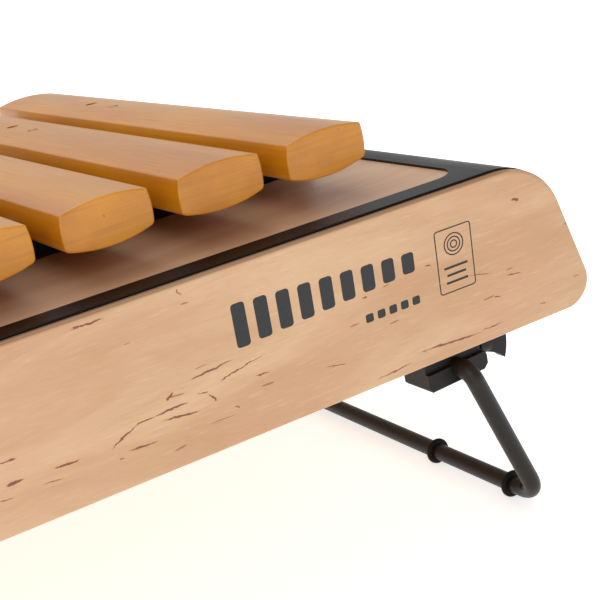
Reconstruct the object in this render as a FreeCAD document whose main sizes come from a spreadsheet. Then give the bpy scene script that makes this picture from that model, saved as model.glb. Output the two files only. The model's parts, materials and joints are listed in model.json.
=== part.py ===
import FreeCAD, Part
import math
import os
import Sketcher

# Table-top diatonic bar instrument: thirteen tuned bars over a wooden resonator box that
# stands on two folding wire bails.
# Frame: origin on the table under the middle of the box, +X towards the long bars (bass),
# -Y towards the side with the printed panel, +Z up. All lengths in millimetres.

DRIVING = {
    # tone bars
    "bar_count": 13,
    "bar_width": 40.0,
    "bar_pitch": 53.0,
    "bass_bar_reach": 170.0,
    "bar_reach_step": 3.6,
    "bar_rear_extra": 38.0,
    "bar_edge_height": 16.0,
    "bar_crown": 2.5,
    "bar_belly": 3.3,
    "bar_bulge": 0.8,
    "bar_foot_spread": 0.5,
    "bar_end_undercut": 2.0,
    "bar_edge_radius": 0.8,
    "bar_low_edge_radius": 2.4,
    "bar_hole_diameter": 7.0,
    "bar_clearance_over_rim": 15.6,
    "bar_arch_depth": 7.0,
    "bar_arch_share": 0.84,
    "nodal_line_share": 0.53,
    # resonator box
    "rim_height": 183.9,
    "skin_thickness": 1.25,
    "skin_setback": 3.9,
    "skin_return_edge": 420.0,
    "skin_top_corner_radius": 37.5,
    "panel_thickness": 9.0,
    "panel_height": 79.25,
    "panel_top_half_length": 405.7,
    "panel_end_spread": 28.45,
    "panel_top_corner_radius": 34.5,
    "panel_low_corner_radius": 13.0,
    "panel_edge_radius": 1.6,
    "panel_half_gap": 179.65,
    "flare_angle": 4.29,
    "lean_angle": 4.40,
    "window_half_length": 374.3,
    "window_border": 17.0,
    "window_corner_radius": 13.5,
    "deck_thickness": 6.0,
    "deck_half_length": 378.0,
    "mouth_half_length": 338.0,
    "mouth_corner_radius": 12.0,
    "mouth_ledge": 6.0,
    "board_thickness": 6.0,
    "board_lift": 4.8,
    "wall_thickness": 9.0,
    "end_wall_position": 366.0,
    "divider_position": 122.0,
    "cleat_size": 12.0,
    # bar supports
    "rail_length": 706.0,
    "rail_width": 8.0,
    "rail_thickness": 11.25,
    "felt_thickness": 2.0,
    "pin_radius": 1.5,
    "pin_root": 4.0,
    "pin_tip_below_bar_top": 4.0,
    "pin_chamfer": 0.8,
    "pin_sleeve_radius": 2.6,
    "pin_bare_tip": 3.0,
    "peg_tip_over_rim": 21.1,
    "peg_sleeve_radius": 3.2,
    "peg_bare_tip": 1.5,
    # folding bails
    "rod_radius": 4.6,
    "rod_running_gap": 0.05,
    "stub_setback": 1.0,
    "bail_lean": 20.5,
    "bail_arm_length": 87.5,
    "bail_inset_from_panel": 14.9,
    "bail_pivot_position": 359.7,
    "bail_upper_bend": 6.5,
    "bail_lower_bend": 12.5,
    "ring_radius": 7.2,
    "ring_width": 3.0,
    "ring_edge_radius": 1.3,
    "ring_spacing": 62.3,
    "ring_from_arm": 19.8,
    # hinge blocks and clamp knobs
    "block_length": 36.8,
    "block_depth": 21.5,
    "block_height": 26.5,
    "block_gap_to_arm": 7.7,
    "block_knob_end_chamfer": 2.5,
    "block_inner_end_chamfer": 1.5,
    "block_edge_chamfer": 0.8,
    "block_step_drop": 17.2,
    "block_step_depth": 2.5,
    "block_relief_start": 20.2,
    "block_relief_end": 15.7,
    "block_relief_depth": 2.4,
    "stud_radius": 3.0,
    "stud_lift": 2.1,
    "stud_tip_gap": 0.2,
    "knob_neck_gap": 0.6,
    "knob_bore_depth": 5.0,
    "knob_hub_length": 7.0,
    "knob_hub_radius": 6.0,
    "wing_root_position": 5.6,
    "wing_root_half_height": 5.4,
    "wing_corner_position": 16.5,
    "wing_half_height": 12.5,
    "wing_thickness": 6.0,
    "wing_crown": 2.7,
    "wing_hollow": 0.8,
    "wing_edge_radius": 1.0,
    "screw_radius": 1.8,
    "screw_head_radius": 3.3,
    "screw_head_height": 2.4,
    "screw_head_gap": 0.4,
    "screw_tip_depth": 1.0,
    "screw_sink": 4.5,
    "screw_spacing_along": 21.0,
    "screw_spacing_across": 12.0,
}

NOTES = ["c1", "d1", "e1", "f1", "g1", "a1", "b1", "c2", "d2", "e2", "f2", "g2", "a2"]
X_AXIS = FreeCAD.Vector(1, 0, 0)
Y_AXIS = FreeCAD.Vector(0, 1, 0)
Z_AXIS = FreeCAD.Vector(0, 0, 1)

doc = FreeCAD.newDocument("bar_instrument")
sheet = doc.addObject("Spreadsheet::Sheet", "dims")


class Size:
    """A number together with the sheet expression that gives it."""

    def __init__(self, number, text):
        self.number = number
        self.text = text

    def combined(self, other, sign, number):
        text = other.text if isinstance(other, Size) else "({})".format(other)
        return Size(number, "({} {} {})".format(self.text, sign, text))

    def __add__(self, other):
        return self.combined(other, "+", self.number + plain(other))

    def __sub__(self, other):
        return self.combined(other, "-", self.number - plain(other))

    def __mul__(self, other):
        return self.combined(other, "*", self.number * plain(other))

    def __truediv__(self, other):
        return self.combined(other, "/", self.number / plain(other))

    def __neg__(self):
        return self * -1


def plain(size):
    return size.number if isinstance(size, Size) else float(size)


def dim(alias):
    return Size(float(DRIVING[alias]), "dims." + alias)


def tangent(angle):
    return Size(math.tan(math.radians(angle.number)), "tan({})".format(angle.text))


def cosine(angle):
    return Size(math.cos(math.radians(angle.number)), "cos({})".format(angle.text))


def fixed(number):
    return Size(float(number), str(float(number)))


def fill_sheet():
    for row, (alias, value) in enumerate(DRIVING.items(), start=1):
        sheet.set("A{}".format(row), alias)
        sheet.set("B{}".format(row), str(value))
        sheet.setAlias("B{}".format(row), alias)
    doc.recompute()


def bind(thing, prop, size):
    thing.setExpression(prop, size.text)


# ---- sketches and solids -------------------------------------------------------------

def new_body(name):
    return doc.addObject("PartDesign::Body", name)


def new_sketch(body, name, plane, offset=None):
    """A sketch on one of the body's own origin planes, moved along its normal by offset."""
    sketch = body.newObject("Sketcher::SketchObject", name)
    support = [item for item in body.Origin.OriginFeatures if item.Role == plane][0]
    sketch.AttachmentSupport = [(support, "")]
    sketch.MapMode = "FlatFace"
    if offset is not None:
        bind(sketch, "AttachmentOffset.Base.z", offset)
    return sketch


def end_index(sketch, edge, point):
    """Which end of a sketch edge lies at point: 1 is its start, 2 its end."""
    return min((1, 2), key=lambda end: (sketch.getPoint(edge, end) - point).Length)


def lock_point(sketch, edge, end, corner):
    for kind, size in zip(("DistanceX", "DistanceY"), corner):
        index = sketch.addConstraint(
            Sketcher.Constraint(kind, -1, 1, edge, end, size.number))
        bind(sketch, "Constraints[{}]".format(index), size)


def bulged_side(start, end, rise):
    """The arc from start to end that stands out by rise on the right of its travel."""
    chord = end - start
    outward = FreeCAD.Vector(chord.y, -chord.x, 0).normalize()
    middle = (start + end) * 0.5 + outward * rise
    return Part.Arc(start, middle, end)


def bulge_radius(first, second, rise):
    run = second[0] - first[0]
    climb = second[1] - first[1]
    return ((run * run + climb * climb) / 4 + rise * rise) / (rise * 2)


def draw_outline(sketch, corners, bulges=None):
    """A closed outline through corners, counter-clockwise; side k may bulge outwards."""
    bulges = bulges or {}
    count = len(corners)
    points = [FreeCAD.Vector(plain(x), plain(y), 0) for x, y in corners]
    sides = []
    for k in range(count):
        start, end = points[k], points[(k + 1) % count]
        shape = Part.LineSegment(start, end)
        if k in bulges:
            shape = bulged_side(start, end, bulges[k].number)
        sides.append(sketch.addGeometry(shape, False))
    starts = [end_index(sketch, sides[k], points[k]) for k in range(count)]
    for k in range(count):
        before = sides[k - 1]
        sketch.addConstraint(
            Sketcher.Constraint("Coincident", before, 3 - starts[k - 1], sides[k], starts[k]))
        lock_point(sketch, sides[k], starts[k], corners[k])
    for k, rise in bulges.items():
        rise = rise if rise.number > 0 else -rise
        radius = bulge_radius(corners[k], corners[(k + 1) % count], rise)
        index = sketch.addConstraint(Sketcher.Constraint("Radius", sides[k], radius.number))
        bind(sketch, "Constraints[{}]".format(index), radius)


def draw_circle(sketch, centre, radius):
    centre_point = FreeCAD.Vector(plain(centre[0]), plain(centre[1]), 0)
    edge = sketch.addGeometry(Part.Circle(centre_point, Z_AXIS, radius.number), False)
    lock_point(sketch, edge, 3, centre)
    index = sketch.addConstraint(Sketcher.Constraint("Radius", edge, radius.number))
    bind(sketch, "Constraints[{}]".format(index), radius)


def add_pad(body, name, sketch, length, both_ways=False):
    pad = body.newObject("PartDesign::Pad", name)
    pad.Profile = sketch
    if both_ways:
        pad.SideType = "Symmetric"
    bind(pad, "Length", length)
    doc.recompute()
    return pad


def add_pocket(body, name, sketch, length, both_ways=False, reverse=False):
    """A pocket that must remove material."""
    before = body.Shape.Volume
    pocket = body.newObject("PartDesign::Pocket", name)
    pocket.Profile = sketch
    pocket.Reversed = reverse
    if both_ways:
        pocket.SideType = "Symmetric"
    bind(pocket, "Length", length)
    doc.recompute()
    if body.Shape.Volume > before - 1e-3:
        raise ValueError(name + " cuts nothing")
    return pocket


def edges_where(shape, wanted):
    return ["Edge{}".format(k) for k, edge in enumerate(shape.Edges, 1) if wanted(edge)]


def add_dress_up(body, kind, name, radius, wanted):
    """A fillet or chamfer on every edge of the body's tip that wanted picks."""
    base = body.Tip
    feature = body.newObject("PartDesign::" + kind, name)
    feature.Base = (base, edges_where(base.Shape, wanted))
    bind(feature, "Radius" if kind == "Fillet" else "Size", radius)
    doc.recompute()
    return feature


def new_box(name, length, width, height, corner):
    box = doc.addObject("Part::Box", name)
    for prop, size in zip(("Length", "Width", "Height"), (length, width, height)):
        bind(box, prop, size)
    for axis, size in zip("xyz", corner):
        bind(box, "Placement.Base." + axis, size)
    return box


def new_cylinder(name, radius, height, base):
    cylinder = doc.addObject("Part::Cylinder", name)
    bind(cylinder, "Radius", radius)
    bind(cylinder, "Height", height)
    for axis, size in zip("xyz", base):
        bind(cylinder, "Placement.Base." + axis, size)
    return cylinder


def boolean(kind, name, base, tool):
    feature = doc.addObject("Part::" + kind, name)
    feature.Base = base
    feature.Tool = tool
    return feature


def group(name, members):
    compound = doc.addObject("Part::Compound", name)
    compound.Links = members
    return compound


def mirrored(name, source):
    """The same piece on the other long side of the instrument."""
    copy = doc.addObject("Part::Mirroring", name)
    copy.Source = source
    copy.Normal = Y_AXIS
    return copy


def softened(name, source, alias, wanted):
    """A Part::Fillet on every edge of source that wanted picks."""
    doc.recompute()
    radius = DRIVING[alias]
    picked = [k for k, edge in enumerate(source.Shape.Edges, 1) if wanted(edge)]
    fillet = doc.addObject("Part::Fillet", name)
    fillet.Base = source
    fillet.Edges = [(k, radius, radius) for k in picked]
    return fillet


def edge_middle(edge):
    return edge.valueAt((edge.FirstParameter + edge.LastParameter) / 2)


# ---- places that several pieces share ------------------------------------------------

ZERO = fixed(0)
LONG = fixed(960)      # longer than the box
WIDE = fixed(600)      # wider than the box
HALF_LONG = LONG / 2
HALF_WIDE = WIDE / 2
CLEAR = fixed(20)      # how far a cutting shape stands off the piece it cuts
MARGIN = fixed(1)      # the same for the small cuts in one bar
SLAB_DROP = 150.0      # depth of a side slab below the panels' top edge
SLAB_HEIGHT = 200.0
KEEP_OUT = 320.0       # thickness of the slabs that bound the space between the panels
TOLERANCE = 1e-3

RIM = dim("rim_height")
PANEL_TOP = RIM - dim("skin_thickness")
PANEL_FOOT = PANEL_TOP - dim("panel_height")
DECK_FLOOR = PANEL_TOP - dim("deck_thickness")
BOARD_FLOOR = PANEL_FOOT + dim("board_lift")
BOARD_TOP = BOARD_FLOOR + dim("board_thickness")
FLARE = tangent(dim("flare_angle"))
RAIL_TOP = PANEL_TOP + dim("rail_thickness")
FELT_TOP = RAIL_TOP + dim("felt_thickness")
BAR_FOOT = RIM + dim("bar_clearance_over_rim")
BAR_SPAN = dim("bar_pitch") * (dim("bar_count") - 1) / 2
NODE_SLOPE = (dim("bar_reach_step") * dim("nodal_line_share")) / dim("bar_pitch")
ROD_LEVEL = dim("ring_radius") + dim("bail_arm_length") * cosine(dim("bail_lean"))
STUD_DROP = ROD_LEVEL + dim("stud_lift") - BOARD_FLOOR


def bar_reach(index):
    """How far a bar's front end lies from the middle plane."""
    return dim("bass_bar_reach") - dim("bar_reach_step") * index


def bar_length(index):
    return bar_reach(index) * 2 + dim("bar_rear_extra")


def bar_place(index):
    return BAR_SPAN - dim("bar_pitch") * index


def node_distance(position):
    """How far the nodal line lies from the middle plane, at a place along X."""
    middle_reach = bar_reach((dim("bar_count") - 1) / 2)
    return middle_reach * dim("nodal_line_share") + NODE_SLOPE * position


def panel_distance(position):
    """How far a panel's outer top edge lies from the middle plane, at a place along X."""
    return dim("panel_half_gap") + FLARE * position


# ---- resonator box -------------------------------------------------------------------

def outline_prism(name, growth, top_radius):
    """A prism across the box with the panels' end outline; ends and foot grow by growth."""
    slope = dim("panel_end_spread") / dim("panel_height")
    stretch = Size(math.sqrt(1 + slope.number ** 2), "sqrt(1 + {0} * {0})".format(slope.text))
    top_half = dim("panel_top_half_length") + growth * stretch
    foot_half = top_half + dim("panel_end_spread") + growth * slope
    foot = PANEL_FOOT - growth
    return rounded_prism(name, top_half, foot_half, PANEL_TOP, foot, top_radius,
                         dim("panel_low_corner_radius") + growth)


def skin_outline_prism():
    """The same outline with its top raised by the skin that lies on the panels."""
    slope = dim("panel_end_spread") / dim("panel_height")
    top_half = dim("panel_top_half_length") - slope * dim("skin_thickness")
    foot_half = dim("panel_top_half_length") + dim("panel_end_spread")
    return rounded_prism("skin_outside", top_half, foot_half, RIM, PANEL_FOOT,
                         dim("skin_top_corner_radius"), dim("panel_low_corner_radius"))


def rounded_prism(name, top_half, foot_half, top, foot, top_radius, low_radius):
    body = new_body(name)
    sketch = new_sketch(body, name + "_outline", "XZ_Plane")
    draw_outline(sketch, [(-foot_half, foot), (foot_half, foot), (top_half, top), (-top_half, top)])
    add_pad(body, name + "_pad", sketch, WIDE, both_ways=True)
    middle = (top.number + foot.number) / 2
    for level, radius, above in (("top", top_radius, True), ("low", low_radius, False)):
        add_dress_up(body, "Fillet", "{}_{}_corners".format(name, level), radius,
                     lambda edge: is_cross_corner(edge, middle, above))
    return body


def is_cross_corner(edge, middle, above):
    """True for a sharp corner edge that runs across the box on the asked side of middle."""
    if edge.Curve.TypeId != "Part::GeomLine" or edge.Length < WIDE.number - 1:
        return False
    point = edge_middle(edge)
    return abs(point.x) > DRIVING["mouth_half_length"] and (point.z > middle) == above


def side_slab(name, inset, depth):
    """A leaning, flared slab whose outer face is inset from the front panel's outer face."""
    slab = doc.addObject("Part::Box", name)
    bind(slab, "Length", LONG)
    slab.Height = SLAB_HEIGHT
    bind(slab, "Width", depth)
    flare = FreeCAD.Rotation(Z_AXIS, -DRIVING["flare_angle"])
    lean = FreeCAD.Rotation(X_AXIS, DRIVING["lean_angle"])
    turn = flare.multiply(lean)
    hinge_line = FreeCAD.Vector(0, -DRIVING["panel_half_gap"], PANEL_TOP.number)
    corner = FreeCAD.Vector(-LONG.number / 2, inset, -SLAB_DROP)
    slab.Placement = FreeCAD.Placement(hinge_line + turn.multVec(corner), turn)
    return slab


def space_between(name, inset):
    """Everything between the two panels, inset from their outer faces."""
    keep_out = side_slab(name + "_front_limit", inset - KEEP_OUT, fixed(KEEP_OUT))
    keep_out_rear = mirrored(name + "_rear_limit", keep_out)
    block = new_box(name + "_block", LONG, WIDE, RIM, (-HALF_LONG, -HALF_WIDE, CLEAR))
    half = boolean("Cut", name + "_half", block, keep_out)
    return boolean("Cut", name, half, keep_out_rear)


def on_outer_face(edge):
    """True for an edge that lies in the front panel's outer face."""
    flare = math.radians(DRIVING["flare_angle"])
    lean = math.radians(DRIVING["lean_angle"])
    normal = FreeCAD.Vector(-math.sin(flare) * math.cos(lean), -math.cos(flare) * math.cos(lean),
                            -math.sin(lean))
    hinge_line = FreeCAD.Vector(0, -DRIVING["panel_half_gap"], PANEL_TOP.number)
    share = (edge.LastParameter - edge.FirstParameter) / 4
    points = [edge.valueAt(edge.FirstParameter + share * k) for k in range(5)]
    return all(abs((point - hinge_line).dot(normal)) < TOLERANCE for point in points)


def side_panels(skin_zone):
    """Two boards with softened outer edges, rebated where the skin wraps the ends."""
    prism = outline_prism("panel_outline", ZERO, dim("panel_top_corner_radius"))
    slab = side_slab("front_panel_slab", 0, dim("panel_thickness"))
    board = boolean("Common", "front_panel_board", prism, slab)
    soft = softened("front_panel_soft", board, "panel_edge_radius", on_outer_face)
    front = boolean("Cut", "side_panel_front", soft, skin_zone)
    return [front, mirrored("side_panel_rear", front)]


def tapered_cutter(name, half_length, distance, radius, floor, height):
    """An upright prism over a plan that is wider at the bass end, with rounded corners."""
    body = new_body(name)
    sketch = new_sketch(body, name + "_plan", "XY_Plane", floor)
    bass, treble = distance(half_length), distance(-half_length)
    draw_outline(sketch, [(-half_length, -treble), (half_length, -bass),
                          (half_length, bass), (-half_length, treble)])
    add_pad(body, name + "_pad", sketch, height)
    add_dress_up(body, "Fillet", name + "_corners", radius,
                 lambda edge: abs(edge.tangentAt(edge.FirstParameter).z) > 0.99)
    return body


def skin_space(core):
    """Where the skin may lie: between the panels' front layers and outside the core."""
    span = space_between("skin_span", DRIVING["skin_setback"])
    around = boolean("Cut", "skin_around", span, core)
    gap_half = dim("skin_return_edge")
    gap = new_box("skin_gap", gap_half * 2, WIDE, CLEAR * 2,
                  (-gap_half, -HALF_WIDE, PANEL_FOOT - CLEAR))
    return boolean("Cut", "skin_zone", around, gap)


def body_shell(skin_zone):
    """The black skin: one bent sheet over the top and round both ends, with a window."""
    trimmed = boolean("Common", "skin_trimmed", skin_outline_prism(), skin_zone)
    window = tapered_cutter("skin_window", dim("window_half_length"),
                            lambda place: panel_distance(place) - dim("window_border"),
                            dim("window_corner_radius"), RIM - CLEAR, CLEAR * 2)
    return boolean("Cut", "body_shell", trimmed, window)


def mouth_distance(position):
    return node_distance(position) - dim("rail_width") / 2 - dim("mouth_ledge")


def deck_panel(space):
    """The pale top board inside the rim, open between the two bar rails."""
    half = dim("deck_half_length")
    plate = new_box("deck_plate", half * 2, WIDE, dim("deck_thickness"),
                    (-half, -HALF_WIDE, DECK_FLOOR))
    fitted = boolean("Common", "deck_fitted", plate, space)
    mouth = tapered_cutter("deck_mouth", dim("mouth_half_length"), mouth_distance,
                           dim("mouth_corner_radius"), DECK_FLOOR - CLEAR, CLEAR * 2)
    return boolean("Cut", "deck_panel", fitted, mouth)


def bottom_board(core, space, screws):
    """The floor of the box, a little above the panels' lower edges, bored for the screws."""
    plate = new_box("bottom_plate", LONG, WIDE, dim("board_thickness"),
                    (-HALF_LONG, -HALF_WIDE, BOARD_FLOOR))
    shaped = boolean("Common", "bottom_shaped", plate, core)
    fitted = boolean("Common", "bottom_fitted", shaped, space)
    return boolean("Cut", "bottom_board", fitted, screws)


def cross_wall(name, position, space):
    wall = new_box(name + "_plate", dim("wall_thickness"), WIDE, DECK_FLOOR - BOARD_TOP,
                   (position - dim("wall_thickness") / 2, -HALF_WIDE, BOARD_TOP))
    return boolean("Common", name, wall, space)


def cleats():
    """Glue strips under the deck, along the inside of both panels."""
    reach = dim("end_wall_position") - dim("wall_thickness") / 2
    slab = side_slab("cleat_slab", DRIVING["panel_thickness"], dim("cleat_size"))
    band = new_box("cleat_band", reach * 2, WIDE, dim("cleat_size"),
                   (-reach, -HALF_WIDE, DECK_FLOOR - dim("cleat_size")))
    front = boolean("Common", "cleat_front", slab, band)
    return [front, mirrored("cleat_rear", front)]


def dividers(space, strips):
    both = group("cleat_pair", strips)
    pieces = []
    for name, sign in (("divider_bass", 1), ("divider_treble", -1)):
        wall = cross_wall(name + "_wall", dim("divider_position") * sign, space)
        pieces.append(boolean("Cut", name, wall, both))
    return pieces


# ---- bar supports --------------------------------------------------------------------

def along_nodal_line(name, side, floor, height):
    """A straight strip centred on one nodal line; side is -1 in front and +1 behind."""
    strip = doc.addObject("Part::Box", name)
    bind(strip, "Length", dim("rail_length"))
    bind(strip, "Width", dim("rail_width"))
    bind(strip, "Height", height)
    turn = FreeCAD.Rotation(Z_AXIS, side * math.degrees(math.atan(NODE_SLOPE.number)))
    corner = FreeCAD.Vector(-DRIVING["rail_length"] / 2, -DRIVING["rail_width"] / 2, 0)
    middle = FreeCAD.Vector(0, side * node_distance(ZERO).number, floor.number)
    strip.Placement = FreeCAD.Placement(middle + turn.multVec(corner), turn)
    return strip


def pin_row(name, places, side, radius, floor, top):
    """One upright pin at each place on a nodal line, with a chamfered tip."""
    pins = []
    for k, place in enumerate(places):
        shaft = new_cylinder("{}_shaft_{}".format(name, k), radius, top - floor,
                             (place, node_distance(place) * side, floor))
        doc.recompute()
        rim = max(range(1, 4), key=lambda e: edge_middle(shaft.Shape.Edges[e - 1]).z)
        pin = doc.addObject("Part::Chamfer", "{}_{}".format(name, k))
        pin.Base = shaft
        pin.Edges = [(rim, DRIVING["pin_chamfer"], DRIVING["pin_chamfer"])]
        pins.append(pin)
    return group(name, pins)


def sleeve_row(name, places, side, radius, floor, top, pins):
    tubes = [new_cylinder("{}_tube_{}".format(name, k), radius, top - floor,
                          (place, node_distance(place) * side, floor))
             for k, place in enumerate(places)]
    return boolean("Cut", name, group(name + "_tubes", tubes), pins)


def bar_supports():
    pin_floor = RAIL_TOP - dim("pin_root")
    bar_top = BAR_FOOT + dim("bar_edge_height") + dim("bar_crown")
    pin_top = bar_top - dim("pin_tip_below_bar_top")
    peg_top = RIM + dim("peg_tip_over_rim")
    bars = [bar_place(k) for k in range(DRIVING["bar_count"])]
    gaps = [bar_place(k - 0.5) for k in range(DRIVING["bar_count"] + 1)]
    pins = pin_row("rear_pins", bars, 1, dim("pin_radius"), pin_floor, pin_top)
    pin_sleeves = sleeve_row("rear_pin_sleeves", bars, 1, dim("pin_sleeve_radius"), RAIL_TOP,
                             pin_top - dim("pin_bare_tip"), pins)
    pegs = pin_row("front_pegs", gaps, -1, dim("pin_radius"), pin_floor, peg_top)
    peg_sleeves = sleeve_row("front_peg_sleeves", gaps, -1, dim("peg_sleeve_radius"), FELT_TOP,
                             peg_top - dim("peg_bare_tip"), pegs)
    rail_front = boolean("Cut", "rail_front",
                         along_nodal_line("rail_front_bar", -1, PANEL_TOP, dim("rail_thickness")),
                         pegs)
    rail_rear = boolean("Cut", "rail_rear",
                        along_nodal_line("rail_rear_bar", 1, PANEL_TOP, dim("rail_thickness")),
                        pins)
    felt_front = boolean("Cut", "felt_front",
                         along_nodal_line("felt_front_strip", -1, RAIL_TOP, dim("felt_thickness")),
                         pegs)
    fixings = group("rear_fixings", [pins, pin_sleeves])
    felt_rear = boolean("Cut", "felt_rear",
                        along_nodal_line("felt_rear_strip", 1, RAIL_TOP, dim("felt_thickness")),
                        fixings)
    return [rail_front, rail_rear, felt_front, felt_rear, pins, pin_sleeves, pegs, peg_sleeves]


# ---- tone bars -----------------------------------------------------------------------

def is_low_long_edge(edge):
    return edge.Length > DRIVING["bass_bar_reach"] / 2 and edge_middle(edge).z < 1


def is_bar_end_or_top_edge(edge, half):
    """True for the edges round both ends and the two long edges of the upper face."""
    ends = [vertex.Point for vertex in edge.Vertexes]
    at_end = all(abs(point.y) > half - DRIVING["bar_end_undercut"] - 1 for point in ends)
    on_top = all(abs(point.z - DRIVING["bar_edge_height"]) < TOLERANCE for point in ends)
    return at_end or (on_top and edge.Length > half)


def tone_bar(index):
    """A crowned bar with a bellied underside, a tuning arch and one hole over the rear pin."""
    name = "bar_{:02d}_{}".format(index + 1, NOTES[index])
    length = bar_length(index)
    shift = dim("bar_rear_extra") / 2
    half_width = dim("bar_width") / 2
    half_foot = half_width + dim("bar_foot_spread")
    edge_height = dim("bar_edge_height")
    body = new_body(name)
    section = new_sketch(body, name + "_section", "XZ_Plane")
    draw_outline(section, [(-half_foot, ZERO), (half_foot, ZERO),
                           (half_width, edge_height), (-half_width, edge_height)],
                 {0: dim("bar_belly"), 1: dim("bar_bulge"), 2: dim("bar_crown"),
                  3: dim("bar_bulge")})
    add_pad(body, name + "_pad", section, length, both_ways=True)
    add_dress_up(body, "Fillet", name + "_low_edges", dim("bar_low_edge_radius"),
                 is_low_long_edge)
    undercut_ends(body, name, length)
    add_dress_up(body, "Fillet", name + "_soft_edges", dim("bar_edge_radius"),
                 lambda edge: is_bar_end_or_top_edge(edge, length.number / 2))
    tuning_arch(body, name, bar_reach(index), shift)
    hole = new_sketch(body, name + "_hole_plan", "XY_Plane")
    draw_circle(hole, (ZERO, bar_reach(index) * dim("nodal_line_share") - shift),
                dim("bar_hole_diameter") / 2)
    add_pocket(body, name + "_hole", hole, dim("bar_width") * 2, both_ways=True)
    for axis, size in zip("xyz", (bar_place(index), shift, BAR_FOOT)):
        bind(body, "Placement.Base." + axis, size)
    return body


def undercut_ends(body, name, length):
    """Both end faces lean in towards the underside."""
    top = dim("bar_edge_height") + dim("bar_crown")
    foot = -dim("bar_belly") - MARGIN
    lean = dim("bar_end_undercut") / (top + dim("bar_belly"))
    for label, side in (("front", -1), ("rear", 1)):
        sketch = new_sketch(body, "{}_{}_end".format(name, label), "YZ_Plane")
        tip = length / 2 * side
        inner_foot = tip - (top - foot) * lean * side
        outer = tip + dim("bar_width") * side
        corners = [(tip, top), (inner_foot, foot), (outer, foot), (outer, top)]
        if side < 0:
            corners.reverse()
        draw_outline(sketch, corners)
        add_pocket(body, "{}_{}_end_cut".format(name, label), sketch, dim("bar_width") * 2,
                   both_ways=True)


def tuning_arch(body, name, reach, shift):
    """The hollow under the middle plane of the instrument, between the two nodal lines."""
    sketch = new_sketch(body, name + "_arch_side", "YZ_Plane")
    half = reach * dim("bar_arch_share") / 2
    foot = -dim("bar_belly") - MARGIN
    draw_outline(sketch, [(-half - shift, foot), (half - shift, foot)],
                 {1: dim("bar_arch_depth") + MARGIN})
    add_pocket(body, name + "_arch", sketch, dim("bar_width") * 2, both_ways=True)


# ---- folding bails -------------------------------------------------------------------

def arm_distance(end):
    """The arms' distance from the middle plane; end is +1 at the bass end."""
    return panel_distance(dim("bail_pivot_position") * end) - dim("bail_inset_from_panel")


def bail_path(sketch, half, stub_end):
    """Stub, arm, crossbar, arm and stub, joined by tangent bends."""
    arm = dim("bail_arm_length")
    upper, lower = dim("bail_upper_bend"), dim("bail_lower_bend")
    corners = [(-stub_end, ZERO), (-half, ZERO), (-half, arm), (half, arm), (half, ZERO),
               (stub_end, ZERO)]
    bends = [upper, lower, lower, upper]
    points = [FreeCAD.Vector(plain(x), plain(y), 0) for x, y in corners]
    headings = [(after - before).normalize() for before, after in zip(points, points[1:])]
    pieces = []
    start = points[0]
    for k, bend in enumerate(bends):
        corner = points[k + 1]
        run_in = corner - headings[k] * bend.number
        run_out = corner + headings[k + 1] * bend.number
        centre = run_in + headings[k + 1] * bend.number
        middle = centre + (corner - centre).normalize() * bend.number
        pieces.append((sketch.addGeometry(Part.LineSegment(start, run_in), False), start, run_in))
        pieces.append((sketch.addGeometry(Part.Arc(run_in, middle, run_out), False),
                       run_in, run_out))
        start = run_out
    pieces.append((sketch.addGeometry(Part.LineSegment(start, points[-1]), False),
                   start, points[-1]))
    join_smoothly(sketch, pieces)
    for k, bend in enumerate(bends):
        index = sketch.addConstraint(
            Sketcher.Constraint("Radius", pieces[2 * k + 1][0], bend.number))
        bind(sketch, "Constraints[{}]".format(index), bend)
    place_runs(sketch, [pieces[2 * k][0] for k in range(5)], half, arm, stub_end)


def join_smoothly(sketch, pieces):
    for (first, _, joint), (second, _, _) in zip(pieces, pieces[1:]):
        sketch.addConstraint(
            Sketcher.Constraint("Tangent", first, end_index(sketch, first, joint),
                                second, end_index(sketch, second, joint)))


def place_runs(sketch, runs, half, arm, stub_end):
    left_stub, left_arm, crossbar, right_arm, right_stub = runs
    for line in (left_stub, crossbar, right_stub):
        sketch.addConstraint(Sketcher.Constraint("Horizontal", line))
    for line in (left_arm, right_arm):
        sketch.addConstraint(Sketcher.Constraint("Vertical", line))
    lock_point(sketch, left_stub, 1, (-stub_end, ZERO))
    for kind, line, end, size in (("DistanceX", left_arm, 1, -half),
                                  ("DistanceY", crossbar, 1, arm),
                                  ("DistanceX", right_arm, 1, half),
                                  ("DistanceX", right_stub, 2, stub_end)):
        index = sketch.addConstraint(
            Sketcher.Constraint(kind, -1, 1, line, end, size.number))
        bind(sketch, "Constraints[{}]".format(index), size)


def bail(name, end):
    """A bent steel rod; its two stubs turn in the hinge blocks."""
    half = arm_distance(end)
    stub_end = half - dim("block_gap_to_arm") - dim("block_depth") + dim("stub_setback")
    body = new_body(name)
    path = new_sketch(body, name + "_path", "XY_Plane")
    bail_path(path, half, stub_end)
    ring = new_sketch(body, name + "_round", "YZ_Plane", -stub_end)
    draw_circle(ring, (ZERO, ZERO), dim("rod_radius"))
    doc.recompute()
    pipe = body.newObject("PartDesign::AdditivePipe", name + "_rod")
    pipe.Profile = ring
    pipe.Spine = path
    doc.recompute()
    body.Placement = bail_placement(end)
    return body


def bail_placement(end):
    """Sketch X runs along +Y of the instrument, sketch Y down the leaning arm."""
    lean = math.radians(DRIVING["bail_lean"])
    down_arm = FreeCAD.Vector(end * math.sin(lean), 0, -math.cos(lean))
    normal = Y_AXIS.cross(down_arm)
    turn = FreeCAD.Rotation(Y_AXIS, down_arm, normal, "ZXY")
    pivot = FreeCAD.Vector(end * DRIVING["bail_pivot_position"], 0, ROD_LEVEL.number)
    return FreeCAD.Placement(pivot, turn)


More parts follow.
